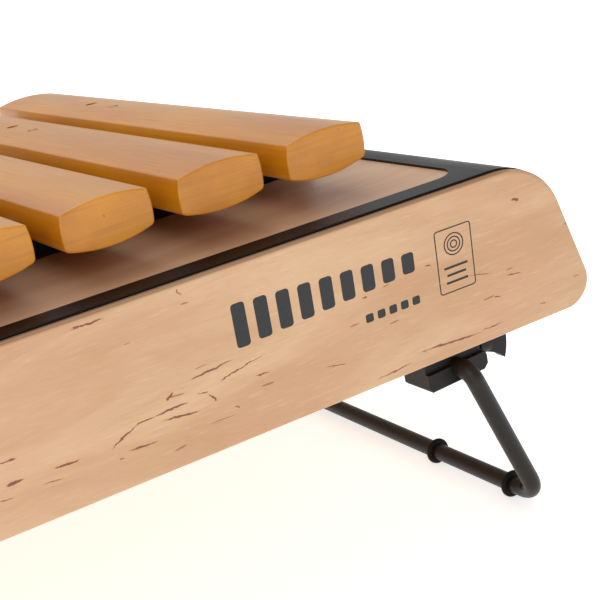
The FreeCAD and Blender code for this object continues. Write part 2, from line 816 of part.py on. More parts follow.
def bail_rings(name, end):
    """Four soft rings on the crossbar that stand on the table."""
    lean = math.radians(DRIVING["bail_lean"])
    reach = DRIVING["bail_arm_length"] * math.sin(lean)
    axis_x = end * (DRIVING["bail_pivot_position"] + reach)
    axis_z = DRIVING["ring_radius"]
    outermost = arm_distance(end).number - DRIVING["ring_from_arm"]
    rings = []
    for k, place in enumerate((-outermost, -outermost + DRIVING["ring_spacing"],
                               outermost - DRIVING["ring_spacing"], outermost)):
        disc = doc.addObject("Part::Cylinder", "{}_disc_{}".format(name, k))
        bind(disc, "Radius", dim("ring_radius"))
        bind(disc, "Height", dim("ring_width"))
        hole = doc.addObject("Part::Cylinder", "{}_hole_{}".format(name, k))
        bind(hole, "Radius", dim("rod_radius"))
        bind(hole, "Height", dim("ring_width"))
        turn = FreeCAD.Rotation(X_AXIS, -90)
        start = FreeCAD.Vector(axis_x, place - DRIVING["ring_width"] / 2, axis_z)
        for piece in (disc, hole):
            piece.Placement = FreeCAD.Placement(start, turn)
        soft = softened("{}_soft_{}".format(name, k), disc, "ring_edge_radius",
                        lambda edge: edge.Closed)
        rings.append(boolean("Cut", "{}_{}".format(name, k), soft, hole))
    return group(name, rings)


# ---- hinge blocks and clamp knobs ----------------------------------------------------

def block_centre(end, side):
    """Where a block's own origin lies; end is +1 at the bass end, side -1 in front."""
    x = dim("bail_pivot_position") * end
    y = (arm_distance(end) - dim("block_gap_to_arm") - dim("block_depth") / 2) * side
    return (x, y, BOARD_FLOOR)


def stand(body, end, side, drop=ZERO):
    """All blocks and knobs are alike: those at the treble end are turned about Z."""
    x, y, z = block_centre(end, side)
    for axis, size in zip("xyz", (x, y, z + drop)):
        bind(body, "Placement.Base." + axis, size)
    if end < 0:
        body.Placement.Rotation = FreeCAD.Rotation(Z_AXIS, 180)


def hinge_block(name, end, side):
    """A moulded block under the bottom board, drilled for the rod and the clamp stud."""
    half, height = dim("block_length") / 2, dim("block_height")
    inner_cut, outer_cut = dim("block_inner_end_chamfer"), dim("block_knob_end_chamfer")
    body = new_body(name)
    front = new_sketch(body, name + "_front", "XZ_Plane")
    draw_outline(front, [(-half + inner_cut, -height), (half - outer_cut, -height),
                         (half, -height + outer_cut), (half, ZERO), (-half, ZERO),
                         (-half, -height + inner_cut)])
    add_pad(body, name + "_pad", front, dim("block_depth"), both_ways=True)
    add_dress_up(body, "Chamfer", name + "_corners", dim("block_edge_chamfer"),
                 is_block_rim)
    step_block_back(body, name)
    relieve_knob_end(body, name)
    bore = new_sketch(body, name + "_bore_side", "XZ_Plane")
    draw_circle(bore, (ZERO, ROD_LEVEL - BOARD_FLOOR), dim("rod_radius") + dim("rod_running_gap"))
    add_pocket(body, name + "_bore", bore, dim("block_depth") * 2, both_ways=True)
    stud_hole = new_sketch(body, name + "_stud_side", "YZ_Plane")
    draw_circle(stud_hole, (ZERO, STUD_DROP), dim("stud_radius") + dim("rod_running_gap"))
    add_pocket(body, name + "_stud_hole", stud_hole, dim("block_length"), reverse=True)
    screw_holes(body, name)
    stand(body, end, side)
    return body


def step_block_back(body, name):
    """Both side faces step back above the barrel that holds the rod."""
    step = new_sketch(body, name + "_step_side", "YZ_Plane")
    near, drop = dim("block_depth") / 2, dim("block_step_drop")
    for sign in (-1, 1):
        edge_y, inner_y = (near + MARGIN) * sign, (near - dim("block_step_depth")) * sign
        corners = [(inner_y, -drop), (edge_y, -drop), (edge_y, MARGIN), (inner_y, MARGIN)]
        if sign < 0:
            corners.reverse()
        draw_outline(step, corners)
    add_pocket(body, name + "_steps", step, dim("block_length") * 2, both_ways=True)


def relieve_knob_end(body, name):
    """The end that faces the knob leans in above the stud."""
    relief = new_sketch(body, name + "_relief_front", "XZ_Plane")
    half = dim("block_length") / 2
    inner, beyond = half - dim("block_relief_depth"), half + MARGIN
    draw_outline(relief, [(half, -dim("block_relief_start")), (beyond, -dim("block_relief_start")),
                          (beyond, MARGIN), (inner, MARGIN), (inner, -dim("block_relief_end"))])
    add_pocket(body, name + "_relief", relief, dim("block_depth") * 2, both_ways=True)


def is_block_rim(edge):
    """True for the edges round the block's two side faces, apart from those at its top."""
    points = [vertex.Point for vertex in edge.Vertexes]
    half_depth = DRIVING["block_depth"] / 2
    in_face = abs(abs(points[0].y) - half_depth) < 1e-6 and abs(points[0].y - points[1].y) < 1e-6
    at_top = all(abs(point.z) < 1e-6 for point in points)
    return in_face and not at_top


def screw_places():
    along, across = dim("screw_spacing_along") / 2, dim("screw_spacing_across") / 2
    return [(-along, -across), (along, across)]


def screw_holes(body, name):
    shafts = new_sketch(body, name + "_screw_plan", "XY_Plane", -dim("block_height"))
    sinks = new_sketch(body, name + "_sink_plan", "XY_Plane", -dim("block_height"))
    for place in screw_places():
        draw_circle(shafts, place, dim("screw_radius"))
        draw_circle(sinks, place, dim("screw_head_radius") + dim("screw_head_gap"))
    add_pocket(body, name + "_screw_holes", shafts, dim("block_height"), reverse=True)
    add_pocket(body, name + "_screw_sinks", sinks, dim("screw_sink"), reverse=True)


def block_screw(name, end, side, place):
    """A pan-head screw up through the block into the bottom board."""
    seat = BOARD_FLOOR - dim("block_height") + dim("screw_sink")
    centre = block_centre(end, side)
    x = centre[0] + place[0] * end
    y = centre[1] + place[1] * end
    head = new_cylinder(name + "_head", dim("screw_head_radius"), dim("screw_head_height"),
                        (x, y, seat - dim("screw_head_height")))
    shaft = new_cylinder(name + "_shaft", dim("screw_radius"),
                         BOARD_TOP - dim("screw_tip_depth") - seat, (x, y, seat))
    return boolean("Fuse", name, head, shaft)


def knob_start():
    """The hub's inner face, from the block's middle."""
    return dim("block_length") / 2 + dim("knob_neck_gap")


def clamp_knob(name, end, side):
    """A hub with a blind hole for the stud, carrying a flat flared wing."""
    start = knob_start()
    seat, hub_end = start + dim("knob_bore_depth"), start + dim("knob_hub_length")
    bore, hub = dim("stud_radius"), dim("knob_hub_radius")
    body = new_body(name)
    sketch = new_sketch(body, name + "_half", "XZ_Plane")
    draw_outline(sketch, [(start, bore), (seat, bore), (seat, ZERO), (hub_end, ZERO),
                          (hub_end, hub), (start, hub)])
    doc.recompute()
    turned = body.newObject("PartDesign::Revolution", name + "_hub")
    turned.Profile = sketch
    turned.ReferenceAxis = (sketch, ["H_Axis"])
    turned.Angle = 360
    doc.recompute()
    add_wing(body, name, start)
    stand(body, end, side, STUD_DROP)
    return body


def add_wing(body, name, start):
    wing = new_sketch(body, name + "_wing_side", "XZ_Plane")
    root, corner = start + dim("wing_root_position"), start + dim("wing_corner_position")
    root_half, half = dim("wing_root_half_height"), dim("wing_half_height")
    draw_outline(wing, [(root, -root_half), (corner, -half), (corner, half), (root, root_half)],
                 {0: -dim("wing_hollow"), 1: dim("wing_crown"), 2: -dim("wing_hollow")})
    add_pad(body, name + "_wing", wing, dim("wing_thickness"), both_ways=True)
    face, beyond = DRIVING["wing_thickness"] / 2, corner.number
    add_dress_up(body, "Fillet", name + "_wing_edges", dim("wing_edge_radius"),
                 lambda edge: is_wing_edge(edge, face, beyond))


def is_wing_edge(edge, face, beyond):
    """True for the crowned end edges of the wing's two flat faces."""
    middle = edge_middle(edge)
    in_face = all(abs(abs(vertex.Y) - face) < TOLERANCE for vertex in edge.Vertexes)
    return in_face and abs(abs(middle.y) - face) < TOLERANCE and middle.x > beyond + TOLERANCE


def knob_stud(name, end, side):
    """The threaded stud that presses on the rod, fixed in the knob."""
    seat = knob_start() + dim("knob_bore_depth")
    start = dim("rod_radius") + dim("stud_tip_gap")
    stud = doc.addObject("Part::Cylinder", name)
    bind(stud, "Radius", dim("stud_radius"))
    bind(stud, "Height", seat - start)
    x, y, z = block_centre(end, side)
    place = (x + start * end, y, z + STUD_DROP)
    stud.Placement.Rotation = FreeCAD.Rotation(Y_AXIS, 90 * end)
    for axis, size in zip("xyz", place):
        bind(stud, "Placement.Base." + axis, size)
    return stud


# ---- the whole instrument ------------------------------------------------------------

def box_pieces(screws):
    core = outline_prism("skin_core", -dim("skin_thickness"),
                         dim("skin_top_corner_radius") - dim("skin_thickness"))
    skin_zone = skin_space(core)
    inside = space_between("box_space", DRIVING["panel_thickness"])
    strips = cleats()
    end_walls = [cross_wall("end_wall_bass", dim("end_wall_position"), inside),
                 cross_wall("end_wall_treble", -dim("end_wall_position"), inside)]
    return (side_panels(skin_zone) + [body_shell(skin_zone), deck_panel(inside)]
            + [bottom_board(core, inside, screws)] + end_walls
            + dividers(inside, strips) + strips)


def hinge_pieces():
    pieces = []
    screws = []
    for label, end in (("bass", 1), ("treble", -1)):
        pieces.append(bail("bail_" + label, end))
        pieces.append(bail_rings("bail_rings_" + label, end))
        for face, side in (("front", -1), ("rear", 1)):
            corner = "{}_{}".format(label, face)
            pieces.append(hinge_block("hinge_block_" + corner, end, side))
            pieces.append(clamp_knob("clamp_knob_" + corner, end, side))
            pieces.append(knob_stud("knob_stud_" + corner, end, side))
            screws += [block_screw("screw_{}_{}".format(corner, k), end, side, place)
                       for k, place in enumerate(screw_places())]
    return pieces, group("block_screws", screws)


def check(pieces):
    for item in doc.Objects:
        if "Invalid" in item.State or "Error" in item.State:
            raise ValueError("{} failed: {}".format(item.Name, item.State))
    for piece in pieces:
        if piece.Shape.isNull() or not piece.Shape.isValid():
            raise ValueError(piece.Label + " has no valid shape")
        if piece.Shape.Volume <= 0 or not piece.Shape.Solids:
            raise ValueError(piece.Label + " is not a solid")


fill_sheet()
hinges, block_screws = hinge_pieces()
pieces = box_pieces(block_screws) + bar_supports() + hinges + [block_screws]
pieces += [tone_bar(k) for k in range(DRIVING["bar_count"])]
doc.recompute()
check(pieces)
os.makedirs("parts", exist_ok=True)
for piece in pieces:
    piece.Shape.exportStep("parts/{}.step".format(piece.Label))
print(len(pieces), "sub-parts written")
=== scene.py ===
import json
import math

import bmesh
import bpy
from mathutils import Matrix, Vector
from mathutils.bvhtree import BVHTree


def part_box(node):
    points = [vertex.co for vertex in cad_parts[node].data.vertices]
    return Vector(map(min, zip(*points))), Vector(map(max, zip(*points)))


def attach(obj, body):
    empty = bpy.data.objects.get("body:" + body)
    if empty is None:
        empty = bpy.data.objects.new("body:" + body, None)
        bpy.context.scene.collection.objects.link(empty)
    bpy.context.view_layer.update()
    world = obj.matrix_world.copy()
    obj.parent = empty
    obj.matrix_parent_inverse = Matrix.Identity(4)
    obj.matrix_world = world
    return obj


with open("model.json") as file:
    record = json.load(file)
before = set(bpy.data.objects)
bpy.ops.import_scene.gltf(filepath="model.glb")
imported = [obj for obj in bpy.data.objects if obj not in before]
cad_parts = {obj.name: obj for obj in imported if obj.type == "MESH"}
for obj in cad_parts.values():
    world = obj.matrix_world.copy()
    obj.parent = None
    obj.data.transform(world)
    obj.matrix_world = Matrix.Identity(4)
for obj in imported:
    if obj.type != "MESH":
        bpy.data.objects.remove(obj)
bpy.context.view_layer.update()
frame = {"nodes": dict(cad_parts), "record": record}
NODES = frame["nodes"]
MM = 0.001

# ---- node helpers --------------------------------------------------------------------


class Look:
    """A procedural material under construction: a Principled surface and its node tree."""

    def __init__(self, name):
        self.material = bpy.data.materials.new(name)
        self.material.use_nodes = True
        self.tree = self.material.node_tree
        self.surface = self.tree.nodes["Principled BSDF"]

    def node(self, kind, **settings):
        made = self.tree.nodes.new("ShaderNode" + kind)
        for key, value in settings.items():
            setattr(made, key, value)
        return made

    def feed(self, socket, value):
        """Links a socket to another node's output, or sets its own value."""
        if isinstance(value, bpy.types.NodeSocket):
            self.tree.links.new(value, socket)
        else:
            socket.default_value = value

    def place(self, scale=(1, 1, 1), turn=(0, 0, 0), vector=None):
        """The object's own coordinates, in metres, turned and stretched."""
        if vector is None:
            vector = self.node("TexCoord").outputs["Object"]
        mapping = self.node("Mapping")
        self.feed(mapping.inputs["Vector"], vector)
        self.feed(mapping.inputs["Rotation"], turn)
        self.feed(mapping.inputs["Scale"], scale)
        return mapping.outputs["Vector"]

    def noise(self, vector, scale=1.0, detail=3.0, roughness=0.5, distortion=0.0, colour=False):
        noise = self.node("TexNoise")
        self.feed(noise.inputs["Vector"], vector)
        self.feed(noise.inputs["Scale"], scale)
        self.feed(noise.inputs["Detail"], detail)
        self.feed(noise.inputs["Roughness"], roughness)
        self.feed(noise.inputs["Distortion"], distortion)
        return noise.outputs["Color" if colour else "Fac"]

    def math(self, operation, first, second):
        node = self.node("Math", operation=operation)
        self.feed(node.inputs[0], first)
        self.feed(node.inputs[1], second)
        return node.outputs[0]

    def span(self, value, low, high, to_low=0.0, to_high=1.0):
        """Value between low and high, carried to another span, and held there."""
        node = self.node("MapRange", interpolation_type="SMOOTHSTEP")
        for key, part in zip(("Value", "From Min", "From Max", "To Min", "To Max"),
                             (value, low, high, to_low, to_high)):
            self.feed(node.inputs[key], part)
        return node.outputs["Result"]

    def mix(self, share, first, second):
        node = self.node("Mix", data_type="RGBA")
        self.feed(node.inputs["Factor"], share)
        self.feed(node.inputs[6], first)
        self.feed(node.inputs[7], second)
        return node.outputs[2]

    def shaken(self, colour, reach):
        """The object's own coordinates, pushed about by a noise colour, up to reach metres."""
        offset = self.node("VectorMath", operation="SUBTRACT")
        self.feed(offset.inputs[0], colour)
        offset.inputs[1].default_value = (0.5, 0.5, 0.5)
        scaled = self.node("VectorMath", operation="SCALE")
        self.feed(scaled.inputs[0], offset.outputs[0])
        scaled.inputs["Scale"].default_value = reach
        moved = self.node("VectorMath", operation="ADD")
        self.feed(moved.inputs[0], self.place())
        self.feed(moved.inputs[1], scaled.outputs[0])
        return moved.outputs[0]

    def bump(self, height, distance, strength, below=None):
        node = self.node("Bump")
        self.feed(node.inputs["Height"], height)
        self.feed(node.inputs["Distance"], distance)
        self.feed(node.inputs["Strength"], strength)
        if below is not None:
            self.feed(node.inputs["Normal"], below)
        return node.outputs["Normal"]

    def finish(self, colour=None, roughness=None, normal=None, **fixed):
        """Sets what is given on the Principled surface; fixed values go on its own sockets."""
        for key, value in (("Base Color", colour), ("Roughness", roughness), ("Normal", normal)):
            if value is not None:
                self.feed(self.surface.inputs[key], value)
        for key, value in fixed.items():
            self.surface.inputs[key.replace("_", " ")].default_value = value
        return self.material


def srgb(red, green, blue):
    """An 8-bit screen colour as a linear RGBA colour."""
    def linear(level):
        level /= 255
        return level / 12.92 if level <= 0.04045 else ((level + 0.055) / 1.055) ** 2.4
    return (linear(red), linear(green), linear(blue), 1.0)


# ---- where things are on the front panel ---------------------------------------------

NEARLY_PARALLEL = 0.97


def outer_face(node, outward):
    """A point on the flat outer face of a node, and that face's unit normal."""
    mesh = NODES[node].data
    faces = [face for face in mesh.polygons if face.normal.dot(outward) > NEARLY_PARALLEL]
    largest = max(faces, key=lambda face: face.area)
    return largest.center.copy(), largest.normal.normalized()


FACE_POINT, FACE_NORMAL = outer_face("side_panel_front", Vector((0, -1, 0)))
FACE_ALONG = Vector((0, 0, 1)).cross(-FACE_NORMAL).normalized()
if FACE_ALONG.x < 0:
    FACE_ALONG.negate()
FACE_UP = (Vector((0, 0, 1)) - FACE_NORMAL * FACE_NORMAL.z).normalized()
RIM_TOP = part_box("body_shell")[1].z
BAR_HALF_WIDTH = 20 * MM
BASS_EDGE = sum(corner.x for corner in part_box("bar_01_c1")) / 2 + BAR_HALF_WIDTH


def on_panel(along, down, lift=0.0):
    """A place on the front panel: millimetres towards the bass from the last bar's outer
    edge, millimetres down from the rim's top face, and metres off the panel's face."""
    foot = FACE_POINT + FACE_ALONG * ((BASS_EDGE - FACE_POINT.x) / FACE_ALONG.x)
    foot += FACE_UP * ((RIM_TOP - foot.z) / FACE_UP.z)
    return foot + FACE_ALONG * (along * MM) - FACE_UP * (down * MM) + FACE_NORMAL * lift


# ---- materials -----------------------------------------------------------------------

STREAK_FADE = (1.0, 0.45)    # shares of a streak's reach where it starts and is full


def streak_group():
    """A soft-edged, long thin spot: 1 on its middle line and 0 outside it."""
    group = bpy.data.node_groups.new("wood_streak", "ShaderNodeTree")
    face = group.interface
    face.new_socket("Vector", in_out="INPUT", socket_type="NodeSocketVector")
    face.new_socket("Centre", in_out="INPUT", socket_type="NodeSocketVector")
    face.new_socket("Turn", in_out="INPUT", socket_type="NodeSocketFloat")
    face.new_socket("Size", in_out="INPUT", socket_type="NodeSocketVector")
    face.new_socket("Mask", in_out="OUTPUT", socket_type="NodeSocketFloat")
    nodes, links = group.nodes, group.links
    source, target = nodes.new("NodeGroupInput"), nodes.new("NodeGroupOutput")
    offset = nodes.new("ShaderNodeVectorMath")
    offset.operation = "SUBTRACT"
    links.new(source.outputs["Vector"], offset.inputs[0])
    links.new(source.outputs["Centre"], offset.inputs[1])
    turn = nodes.new("ShaderNodeVectorRotate")
    turn.rotation_type = "Y_AXIS"
    links.new(offset.outputs[0], turn.inputs["Vector"])
    links.new(source.outputs["Turn"], turn.inputs["Angle"])
    shrink = nodes.new("ShaderNodeVectorMath")
    shrink.operation = "DIVIDE"
    links.new(turn.outputs[0], shrink.inputs[0])
    links.new(source.outputs["Size"], shrink.inputs[1])
    length = nodes.new("ShaderNodeVectorMath")
    length.operation = "LENGTH"
    links.new(shrink.outputs[0], length.inputs[0])
    fade = nodes.new("ShaderNodeMapRange")
    fade.interpolation_type = "SMOOTHSTEP"
    for key, value in zip(("From Min", "From Max", "To Min", "To Max"), STREAK_FADE + (0.0, 1.0)):
        fade.inputs[key].default_value = value
    links.new(length.outputs["Value"], fade.inputs["Value"])
    links.new(fade.outputs[0], target.inputs["Mask"])
    return group


# Pith flecks of the front veneer: place along and down the panel, half length, half width,
# all in millimetres, and slope in degrees, falling towards the bass end when positive.
FLECKS = [
    (-157, 5, 7.0, 0.8, 0), (-118, 5, 1.6, 0.6, 68), (-110.5, 42.6, 10.5, 0.9, -6),
    (-97, 46.6, 12.0, 0.55, -11), (-130.5, 47.5, 2.3, 0.9, -42), (-153, 56.8, 7.2, 0.7, -27),
    (-143, 53.5, 4.6, 0.8, -4), (-131, 53.0, 8.6, 1.0, -2), (-127.4, 57.6, 8.6, 0.9, 8),
    (-116.4, 51.2, 2.5, 0.6, 14), (-112.2, 55.0, 2.3, 0.8, 52), (-102.5, 63.3, 1.6, 0.8, 35),
    (-110, 66.3, 6.8, 0.35, 2), (-146, 64.2, 6.8, 0.7, 4), (-156.4, 66.0, 1.2, 0.5, 8),
    (-178, 59.0, 5.8, 0.9, 5), (-200, 48.1, 4.0, 0.7, 5), (-199.6, 58.1, 3.6, 1.2, -3),
    (-205, 63.7, 3.4, 0.4, 8), (-88.6, 53.2, 3.5, 0.5, 5), (-185.6, 63.8, 4.4, 0.4, 5),
    (51, 16.5, 2.3, 1.2, 10), (28, 46.0, 6.5, 0.55, 10), (46.4, 51.8, 4.6, 0.7, 10),
    (36.2, 60.0, 2.2, 0.7, 15), (32, 73.5, 6.4, 0.6, 1), (-23, 34.7, 2.2, 0.4, -6),
    (-34, 36.3, 1.2, 0.6, 2), (61.5, 72.2, 2.0, 0.45, 6), (0, 32.2, 1.5, 0.8, 10),
    (-262, 38, 8.0, 0.9, 6), (-300, 61, 6.5, 0.7, 3), (-348, 22, 5.0, 0.6, 5),
    (-395, 55, 9.0, 0.8, 7), (-470, 40, 6.0, 0.7, 4), (-540, 66, 8.0, 0.7, 6),
    (-610, 28, 5.0, 0.8, 3), (-672, 58, 7.0, 0.8, 5), (7, 73.2, 19.0, 0.8, 4),
    (-24, 76.2, 10.0, 0.6, -5), (-53, 62.2, 5.6, 0.5, 11),
]
GRAIN_TILT = math.radians(9)
STREAK_STRETCH = 1.2
STREAK_WIDTH = 0.68


def fleck_mask(look, warped):
    """Every pith fleck of the front panel, in one mask."""
    group = streak_group()
    mask = None
    for along, down, half_length, half_width, slope in FLECKS:
        spot = look.node("Group", node_tree=group)
        look.feed(spot.inputs["Vector"], warped)
        spot.inputs["Centre"].default_value = on_panel(along, down)
        spot.inputs["Turn"].default_value = -math.radians(slope)
        size = (half_length * STREAK_STRETCH * MM, 1.0, half_width * STREAK_WIDTH * MM)
        spot.inputs["Size"].default_value = size
        mask = spot.outputs[0] if mask is None else look.math("MAXIMUM", mask, spot.outputs[0])
    return mask


VENEER_LIGHT, VENEER_DARK = srgb(212, 174, 135), srgb(193, 149, 108)
VENEER_CLOUD, VENEER_PALE = srgb(204, 154, 118), srgb(232, 198, 160)
VENEER_DASH, VENEER_FINE = srgb(184, 138, 94), srgb(176, 130, 90)
FLECK_HALO, FLECK_CORE, FLECK_SMALL = srgb(176, 110, 66), srgb(120, 56, 34), srgb(140, 78, 46)
# Darker tone for the band along the panel's top edge, over its rounded edge.
TOP_EDGE_DARK = srgb(138, 98, 62)
EDGE_START, EDGE_END = RIM_TOP - 2.6 * MM, RIM_TOP - 1.6 * MM
SWIRL_REACH, RAGGED_REACH = 9 * MM, 2.6 * MM


def veneer(name, with_flecks):
    """Light hardwood veneer: fine short dashes on a slant, soft clouds, red-brown flecks."""
    look = Look(name)
    swirl = look.noise(look.place((7, 7, 16)), 1.0, 2.0, colour=True)
    bent = look.shaken(swirl, SWIRL_REACH)
    tilt = (0, GRAIN_TILT, 0)
    dashes = look.noise(look.place((85, 85, 900), tilt, bent), 1.0, 4.0, 0.62)
    fine = look.noise(look.place((160, 160, 2400), tilt, bent), 1.0, 2.0, 0.5)
    figure = look.noise(look.place((7, 7, 30), tilt, bent), 1.0, 3.0, 0.55, 0.6)
    small = look.noise(look.place((70, 70, 420), tilt, bent), 1.0, 1.0, 0.4)
    clouds = look.noise(look.place((14, 14, 26)), 1.0, 3.0, 0.5)
    colour = look.mix(look.span(figure, 0.32, 0.68), VENEER_LIGHT, VENEER_DARK)
    colour = look.mix(look.span(clouds, 0.42, 0.72, 0.0, 0.55), colour, VENEER_CLOUD)
    colour = look.mix(look.span(dashes, 0.50, 0.74, 0.0, 0.26), colour, VENEER_DASH)
    colour = look.mix(look.span(fine, 0.55, 0.75, 0.0, 0.22), colour, VENEER_FINE)
    colour = look.mix(look.span(dashes, 0.45, 0.28, 0.0, 0.22), colour, VENEER_PALE)
    if with_flecks:
        ragged = look.noise(look.place((180, 180, 520)), 1.0, 3.0, 0.6, colour=True)
        mask = fleck_mask(look, look.shaken(ragged, RAGGED_REACH))
        colour = look.mix(look.span(mask, 0.0, 0.5, 0.0, 0.55), colour, FLECK_HALO)
        colour = look.mix(look.span(mask, 0.25, 0.8, 0.0, 0.92), colour, FLECK_CORE)
    colour = look.mix(look.span(small, 0.765, 0.80, 0.0, 0.75), colour, FLECK_SMALL)
    height = look.node("SeparateXYZ")
    look.feed(height.inputs[0], look.place())
    # Darker towards the panel's top edge, from EDGE_START up to EDGE_END.
    top_edge = look.span(height.outputs["Z"], EDGE_START, EDGE_END, 0.0, 0.75)
    colour = look.mix(top_edge, colour, TOP_EDGE_DARK)
    roughness = look.span(dashes, 0.3, 0.75, 0.40, 0.52)
    normal = look.bump(dashes, 0.05 * MM, 0.35)
    return look.finish(colour, roughness, normal, Coat_Weight=0.12, Coat_Roughness=0.28)


BAR_LIGHT, BAR_DARK = srgb(217, 143, 20), srgb(199, 123, 12)
BAR_RING, BAR_PORE, BAR_SPECK = srgb(172, 96, 12), srgb(146, 78, 12), srgb(120, 66, 20)


def bar_timber():
    """Golden-orange tone bar: growth rings lie flat, pores run along the bar."""
    look = Look("bar_timber")
    rings = look.noise(look.place((22, 5, 700)), 1.0, 4.0, 0.6, 0.3)
    pores = look.noise(look.place((900, 26, 900)), 1.0, 3.0, 0.55)
    clouds = look.noise(look.place((30, 6, 30)), 1.0, 3.0, 0.5)
    specks = look.noise(look.place((420, 60, 420)), 1.0, 1.0, 0.3)
    colour = look.mix(look.span(clouds, 0.35, 0.7), BAR_LIGHT, BAR_DARK)
    colour = look.mix(look.span(rings, 0.45, 0.75, 0.0, 0.40), colour, BAR_RING)
    colour = look.mix(look.span(pores, 0.58, 0.80, 0.0, 0.34), colour, BAR_PORE)
    colour = look.mix(look.span(specks, 0.78, 0.82, 0.0, 0.6), colour, BAR_SPECK)
    roughness = look.span(pores, 0.4, 0.8, 0.30, 0.42)
    normal = look.bump(rings, 0.04 * MM, 0.3, look.bump(pores, 0.03 * MM, 0.3))
    return look.finish(colour, roughness, normal, Coat_Weight=0.35, Coat_Roughness=0.22)


DECK_LIGHT, DECK_DARK, DECK_FINE = srgb(212, 174, 140), srgb(196, 152, 116), srgb(166, 128, 100)
DECK_TURN = (0, 0, math.radians(-6))


def deck_timber():
    """Pinkish-pale deck board with a soft wavy figure along the instrument."""
    look = Look("deck_timber")
    figure = look.noise(look.place((4, 30, 30), DECK_TURN), 1.0, 4.0, 0.55, 1.2)
    fine = look.noise(look.place((40, 900, 900), DECK_TURN), 1.0, 3.0, 0.55)
    colour = look.mix(look.span(figure, 0.3, 0.7), DECK_LIGHT, DECK_DARK)
    colour = look.mix(look.span(fine, 0.52, 0.76, 0.0, 0.35), colour, DECK_FINE)
    roughness = look.span(fine, 0.3, 0.8, 0.36, 0.46)
    return look.finish(colour, roughness, look.bump(fine, 0.04 * MM, 0.3),
                       Coat_Weight=0.15, Coat_Roughness=0.3)


PLY_LIGHT, PLY_DARK, PLY_LAYER = srgb(206, 172, 128), srgb(180, 140, 98), srgb(140, 102, 66)
PLY_LAYERS = 260.0    # waves per metre


def raw_ply():
    """Unlacquered board: plies show on its edges as flat layers."""
    look = Look("raw_ply")
    plies = look.node("TexWave", wave_type="BANDS", bands_direction="Z")
    look.feed(plies.inputs["Vector"], look.place())
    look.feed(plies.inputs["Scale"], PLY_LAYERS)
    look.feed(plies.inputs["Distortion"], 0.6)
    grain = look.noise(look.place((30, 420, 420)), 1.0, 4.0, 0.6)
    colour = look.mix(look.span(grain, 0.35, 0.7), PLY_LIGHT, PLY_DARK)
    colour = look.mix(look.span(plies.outputs["Fac"], 0.4, 0.6, 0.0, 0.2), colour,
                      PLY_LAYER)
    return look.finish(colour, 0.72, look.bump(grain, 0.08 * MM, 0.4))


def scaled(colour, factor):
    return tuple(channel * factor for channel in colour[:3]) + (1.0,)


def black_surface(name, colour, rough_low, rough_high, grain_scale, depth, **fixed):
    """A black surface with a fine moulded or coated texture."""
    look = Look(name)
    grain = look.noise(look.place(), grain_scale, 3.0, 0.6)
    broad = look.noise(look.place(), 18.0, 3.0, 0.5)
    tone = look.mix(look.span(broad, 0.35, 0.7), colour, scaled(colour, 1.35))
    roughness = look.span(look.math("ADD", look.math("MULTIPLY", grain, 0.5),
                                    look.math("MULTIPLY", broad, 0.5)),
                          0.35, 0.65, rough_low, rough_high)
    return look.finish(tone, roughness, look.bump(grain, depth, 0.5), **fixed)


def felt_cloth():
    """Dense black felt with short loose fibres."""
    look = Look("felt_cloth")
    fibres = look.noise(look.place(), 2600.0, 4.0, 0.7, 1.5)
    colour = look.mix(look.span(fibres, 0.4, 0.75), srgb(26, 24, 23), srgb(58, 54, 51))
    return look.finish(colour, 0.95, look.bump(fibres, 0.25 * MM, 0.8), Sheen_Weight=0.3)


def bright_steel(name, colour, roughness):
    """Drawn wire: fine scratches along its length."""
    look = Look(name)
    lines = look.noise(look.place((5000, 5000, 60)), 1.0, 3.0, 0.6)
    tone = look.mix(look.span(lines, 0.4, 0.7), colour, scaled(colour, 0.75))
    rough = look.span(lines, 0.3, 0.7, roughness, roughness + 0.15)
    return look.finish(tone, rough, look.bump(lines, 0.01 * MM, 0.3), Metallic=1.0)


def ink():
    """Screen-printed black: slightly uneven, matt on the lacquer."""
    look = Look("printed_ink")
    blotch = look.noise(look.place(), 900.0, 3.0, 0.6)
    colour = look.mix(look.span(blotch, 0.4, 0.7), srgb(24, 26, 28), srgb(40, 42, 44))
    return look.finish(colour, look.span(blotch, 0.3, 0.7, 0.45, 0.6),
                       look.bump(blotch, 0.01 * MM, 0.3))


def floor_paint():
    look = Look("pale_floor")
    grain = look.noise(look.place(), 60.0, 3.0, 0.5)
    colour = look.mix(look.span(grain, 0.3, 0.7), (0.90, 0.90, 0.90, 1), (0.92, 0.92, 0.92, 1))
    return look.finish(colour, 0.8, Emission_Color=(1, 1, 1, 1), Emission_Strength=0.62)


